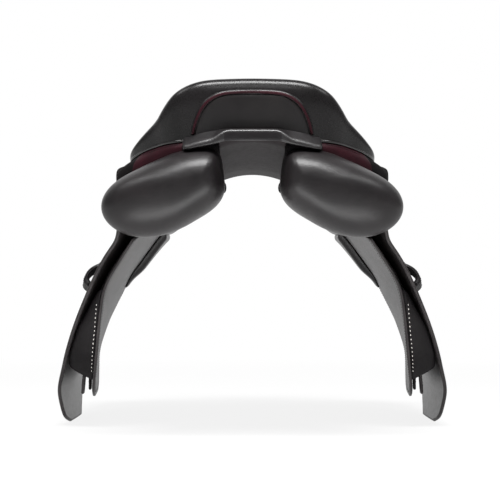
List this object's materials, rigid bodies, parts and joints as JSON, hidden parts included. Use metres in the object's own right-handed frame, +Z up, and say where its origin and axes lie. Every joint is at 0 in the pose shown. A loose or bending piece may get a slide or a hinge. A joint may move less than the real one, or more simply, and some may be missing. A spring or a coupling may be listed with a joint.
{
  "type": "jumping saddle",
  "caption": "Close-contact jumping saddle with double flaps, skirts over stirrup bars, and padded panels either side of an open channel.",
  "frame": {"origin": "on the centre plane, midway between the rear of the panels and the front of the flaps, level with the lowest edge of the flaps", "axes": "+Y towards the horse's head, +X towards the horse's right, +Z up"},
  "size_m": [0.5256, 0.5298, 0.45],
  "materials": {
    "seat_leather": "smooth, waxed",
    "grained_leather": "fine grain",
    "flap_leather": "fine grain",
    "sweat_leather": "matt underside",
    "strap_leather": "bridle leather",
    "red_leather": "smooth",
    "flocking": "leather over soft filling",
    "foam": "open cell foam",
    "tree_laminate": "laminate",
    "plated_steel": "plated",
    "webbing": "woven"
  },
  "bodies": {
    "saddle": {"seat_cover": "seat_leather", "seat_foam": "foam", "tree": "tree_laminate", "seat_webbing": "webbing", "head_arch": "plated_steel", "cantle_inset": "seat_leather", "cantle_piping": "red_leather", "rear_bridge": "grained_leather", "channel_lining": "grained_leather", "panel_left": "flocking", "panel_band_left": "red_leather", "panel_front_left": "flocking", "panel_tab_left": "strap_leather", "seat_welt_left": "seat_leather", "sweat_flap_left": "sweat_leather", "knee_block_left": "grained_leather", "thigh_block_left": "grained_leather", "girth_web_left": "webbing", "buckle_guard_left": "strap_leather", "flap_root_left": "flap_leather", "skirt_welt_left": "seat_leather", "stirrup_bar_left": "plated_steel", "dee_chape_left": "strap_leather", "head_nail_left": "plated_steel", "panel_right": "flocking", "panel_band_right": "red_leather", "panel_front_right": "flocking", "panel_tab_right": "strap_leather", "seat_welt_right": "seat_leather", "sweat_flap_right": "sweat_leather", "knee_block_right": "grained_leather", "thigh_block_right": "grained_leather", "girth_web_right": "webbing", "buckle_guard_right": "strap_leather", "flap_root_right": "flap_leather", "skirt_welt_right": "seat_leather", "stirrup_bar_right": "plated_steel", "dee_chape_right": "strap_leather", "head_nail_right": "plated_steel"},
    "flap_left": {"flap_left": "flap_leather", "keeper_left": "strap_leather"},
    "flap_right": {"flap_right": "flap_leather", "keeper_right": "strap_leather"},
    "skirt_left": {"skirt_left": "flap_leather"},
    "skirt_right": {"skirt_right": "flap_leather"},
    "girth_strap_front_left": {"girth_strap_front_left": "strap_leather"},
    "girth_strap_front_right": {"girth_strap_front_right": "strap_leather"},
    "girth_strap_rear_left": {"girth_strap_rear_left": "strap_leather"},
    "girth_strap_rear_right": {"girth_strap_rear_right": "strap_leather"},
    "stirrup_catch_left": {"stirrup_catch_left": "plated_steel"},
    "stirrup_catch_right": {"stirrup_catch_right": "plated_steel"},
    "dee_left": {"dee_left": "plated_steel"},
    "dee_right": {"dee_right": "plated_steel"}
  },
  "joints": [
    {"name": "flap_lift_left", "type": "hinge", "parent": "saddle", "child": "flap_left", "pos_m": [-0.17795, 0.08, 0.2399], "axis": [0.0704, 0.9967, 0.0399], "range_deg": [0, 90]},
    {"name": "flap_lift_right", "type": "hinge", "parent": "saddle", "child": "flap_right", "pos_m": [0.17795, 0.08, 0.2399], "axis": [0.0704, -0.9967, -0.0399], "range_deg": [0, 90]},
    {"name": "skirt_lift_left", "type": "hinge", "parent": "saddle", "child": "skirt_left", "pos_m": [-0.087, 0.095, 0.333], "axis": [0.1958, 0.98, 0.0352], "range_deg": [0, 49]},
    {"name": "skirt_lift_right", "type": "hinge", "parent": "saddle", "child": "skirt_right", "pos_m": [0.087, 0.095, 0.333], "axis": [0.1958, -0.98, -0.0352], "range_deg": [0, 49]},
    {"name": "girth_strap_swing_front_left", "type": "hinge", "parent": "saddle", "child": "girth_strap_front_left", "pos_m": [-0.14518, 0.0595, 0.257], "axis": [0.933, 0, -0.36], "range_deg": [-5, 5]},
    {"name": "girth_strap_swing_front_right", "type": "hinge", "parent": "saddle", "child": "girth_strap_front_right", "pos_m": [0.14518, 0.0595, 0.257], "axis": [0.933, 0, 0.36], "range_deg": [-5, 5]},
    {"name": "girth_strap_swing_rear_left", "type": "hinge", "parent": "saddle", "child": "girth_strap_rear_left", "pos_m": [-0.15105, -0.0155, 0.257], "axis": [0.933, 0, -0.36], "range_deg": [0, 5]},
    {"name": "girth_strap_swing_rear_right", "type": "hinge", "parent": "saddle", "child": "girth_strap_rear_right", "pos_m": [0.15105, -0.0155, 0.257], "axis": [0.933, 0, 0.36], "range_deg": [0, 5]},
    {"name": "catch_turn_left", "type": "hinge", "parent": "saddle", "child": "stirrup_catch_left", "pos_m": [-0.13703, 0.04404, 0.3026], "axis": [-0.6882, 0.1089, 0.7173], "range_deg": [0, 42]},
    {"name": "catch_turn_right", "type": "hinge", "parent": "saddle", "child": "stirrup_catch_right", "pos_m": [0.13703, 0.04404, 0.3026], "axis": [-0.6882, -0.1089, -0.7173], "range_deg": [0, 42]},
    {"name": "dee_swing_left", "type": "hinge", "parent": "saddle", "child": "dee_left", "pos_m": [-0.058, 0.22788, 0.34], "axis": [1, 0, 0], "range_deg": [0, 80]},
    {"name": "dee_swing_right", "type": "hinge", "parent": "saddle", "child": "dee_right", "pos_m": [0.058, 0.22788, 0.34], "axis": [1, 0, 0], "range_deg": [0, 80]}
  ]
}
